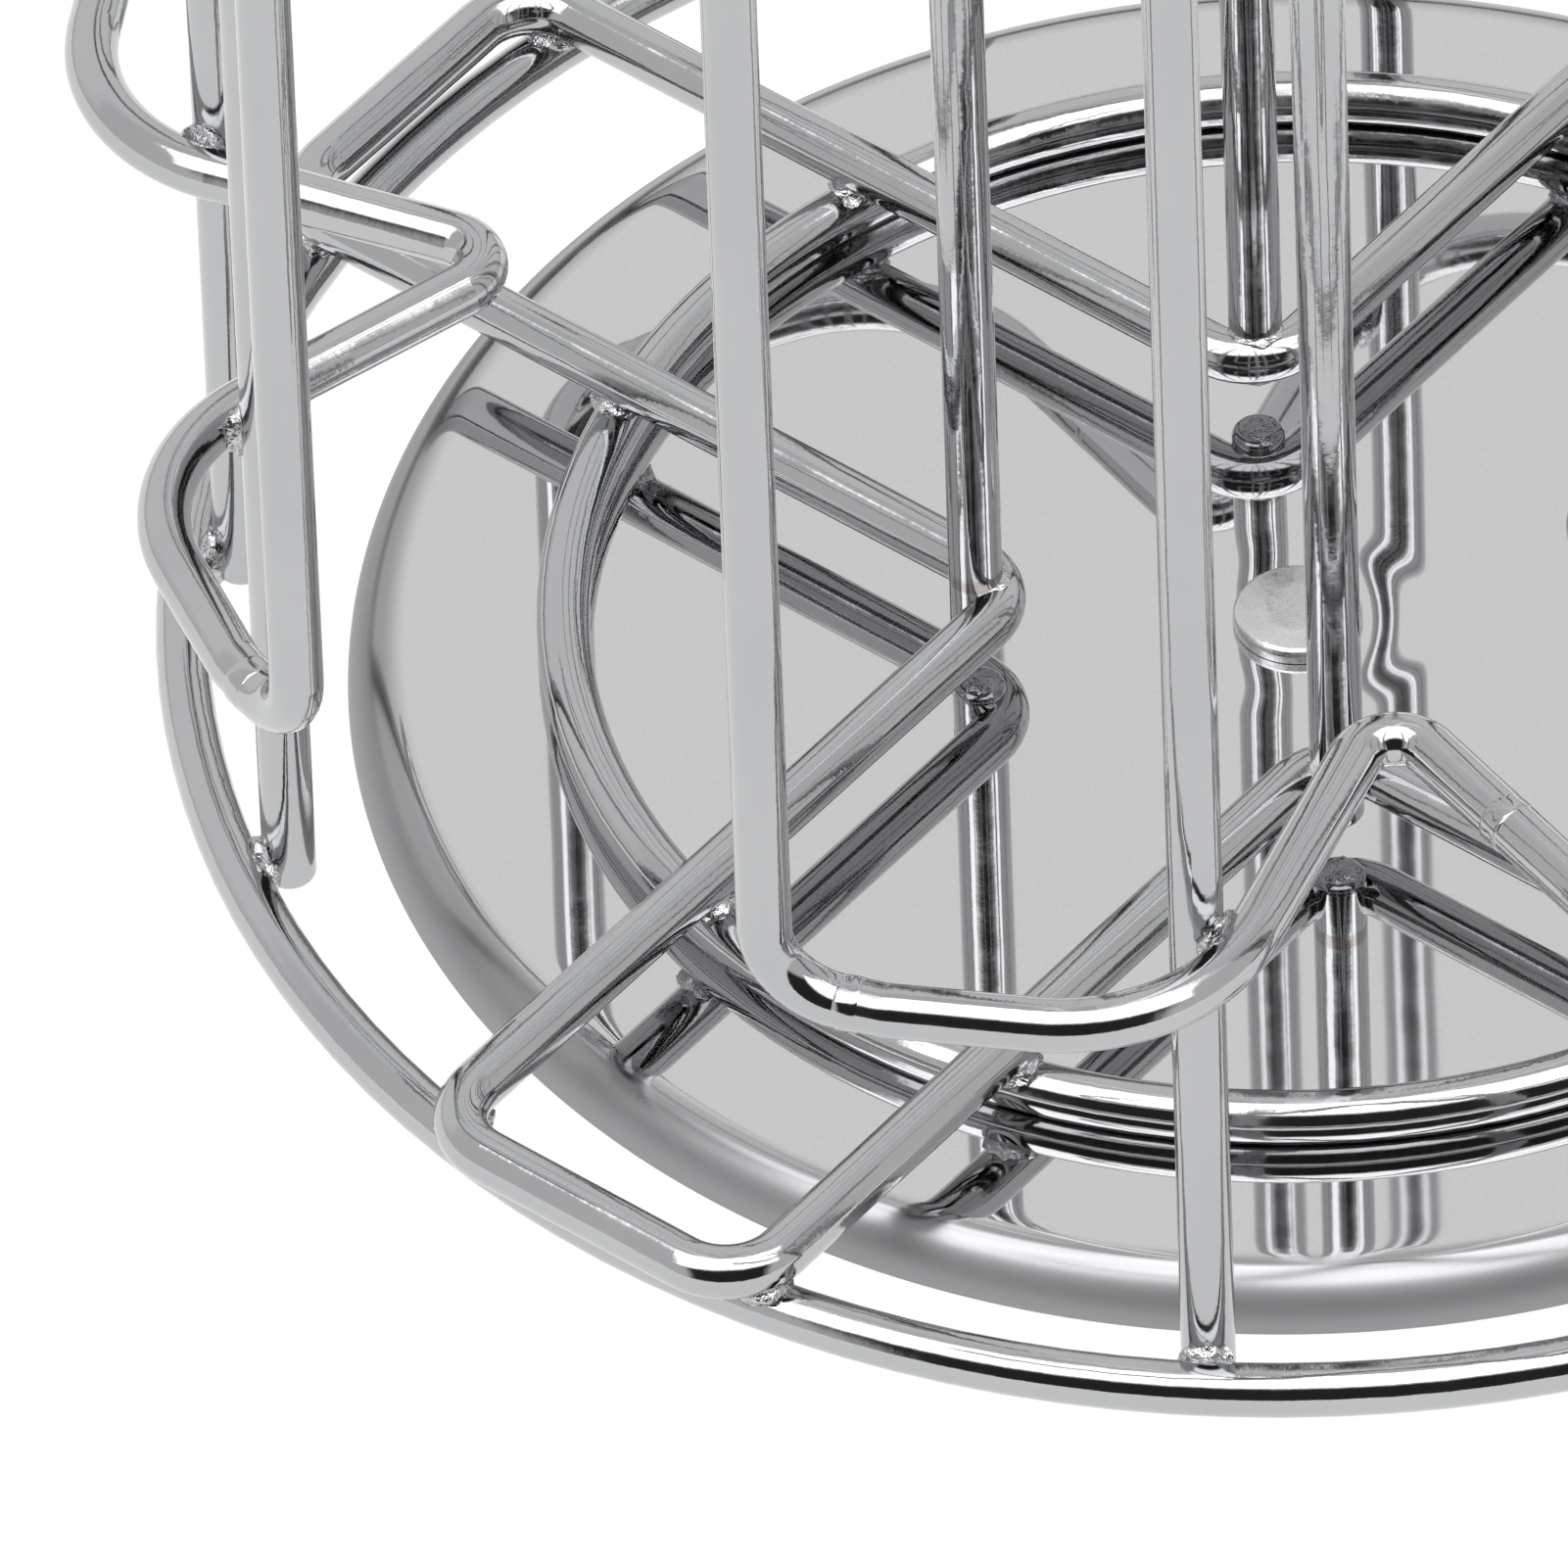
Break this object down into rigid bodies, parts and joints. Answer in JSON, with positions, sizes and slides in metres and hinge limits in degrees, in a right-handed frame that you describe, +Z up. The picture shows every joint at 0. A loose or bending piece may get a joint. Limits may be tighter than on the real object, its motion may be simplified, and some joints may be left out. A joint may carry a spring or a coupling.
{
  "type": "revolving wire capsule holder",
  "caption": "Revolving chrome wire holder that stores round flat drink capsules in upright columns on a turning steel platter.",
  "frame": {"origin": "centre of the swivel on the surface the feet stand on", "axes": "+Z up along the swivel's axis; the columns lie on +X, +Y, -X and -Y"},
  "size_m": [0.1584, 0.1584, 0.3553],
  "materials": {
    "chrome_wire": "polished chrome plate",
    "chrome_platter": "polished, fine grain",
    "chrome_rivet": "polished chrome plate",
    "base_steel": "satin black",
    "swivel_steel": "zinc plated",
    "retainer_plastic": "natural nylon",
    "feet_rubber": "matt"
  },
  "bodies": {
    "base": {"rubber_feet": "feet_rubber", "base_plate": "base_steel", "rivet_washer": "swivel_steel", "centre_bush": "swivel_steel", "centre_rivet": "chrome_rivet"},
    "ball_carrier": {"ball_retainer": "retainer_plastic", "bearing_balls": "swivel_steel"},
    "carousel": {"upper_race": "swivel_steel", "platter": "chrome_platter", "inner_ring": "chrome_wire", "outer_ring": "chrome_wire", "floor_cross": "chrome_wire", "inner_post_1": "chrome_wire", "inner_post_2": "chrome_wire", "inner_post_3": "chrome_wire", "inner_post_4": "chrome_wire", "side_rail_right_1": "chrome_wire", "side_rail_left_1": "chrome_wire", "side_rail_right_2": "chrome_wire", "side_rail_left_2": "chrome_wire", "side_rail_right_3": "chrome_wire", "side_rail_left_3": "chrome_wire", "side_rail_right_4": "chrome_wire", "side_rail_left_4": "chrome_wire", "front_rail_right_1": "chrome_wire", "front_rail_left_1": "chrome_wire", "front_rail_right_2": "chrome_wire", "front_rail_left_2": "chrome_wire", "front_rail_right_3": "chrome_wire", "front_rail_left_3": "chrome_wire", "front_rail_right_4": "chrome_wire", "front_rail_left_4": "chrome_wire", "lower_loop_1": "chrome_wire", "lower_loop_2": "chrome_wire", "lower_loop_3": "chrome_wire", "lower_loop_4": "chrome_wire", "upper_loop_1": "chrome_wire", "upper_loop_2": "chrome_wire", "upper_loop_3": "chrome_wire", "upper_loop_4": "chrome_wire", "top_tie_1": "chrome_wire", "top_tie_2": "chrome_wire", "top_tie_3": "chrome_wire", "top_tie_4": "chrome_wire", "hub_ring": "chrome_wire", "lifting_handle": "chrome_wire"}
  },
  "joints": [
    {"name": "carousel_spin", "type": "hinge", "parent": "base", "child": "carousel", "pos_m": [0, 0, 0.0105], "axis": [0, 0, 1], "continuous": true},
    {"name": "ball_carrier_spin", "type": "hinge", "parent": "base", "child": "ball_carrier", "pos_m": [0, 0, 0.0063], "axis": [0, 0, 1], "continuous": true}
  ],
  "couplings": [
    {"joint": "ball_carrier_spin", "follows": "carousel_spin", "ratio": 0.5}
  ]
}
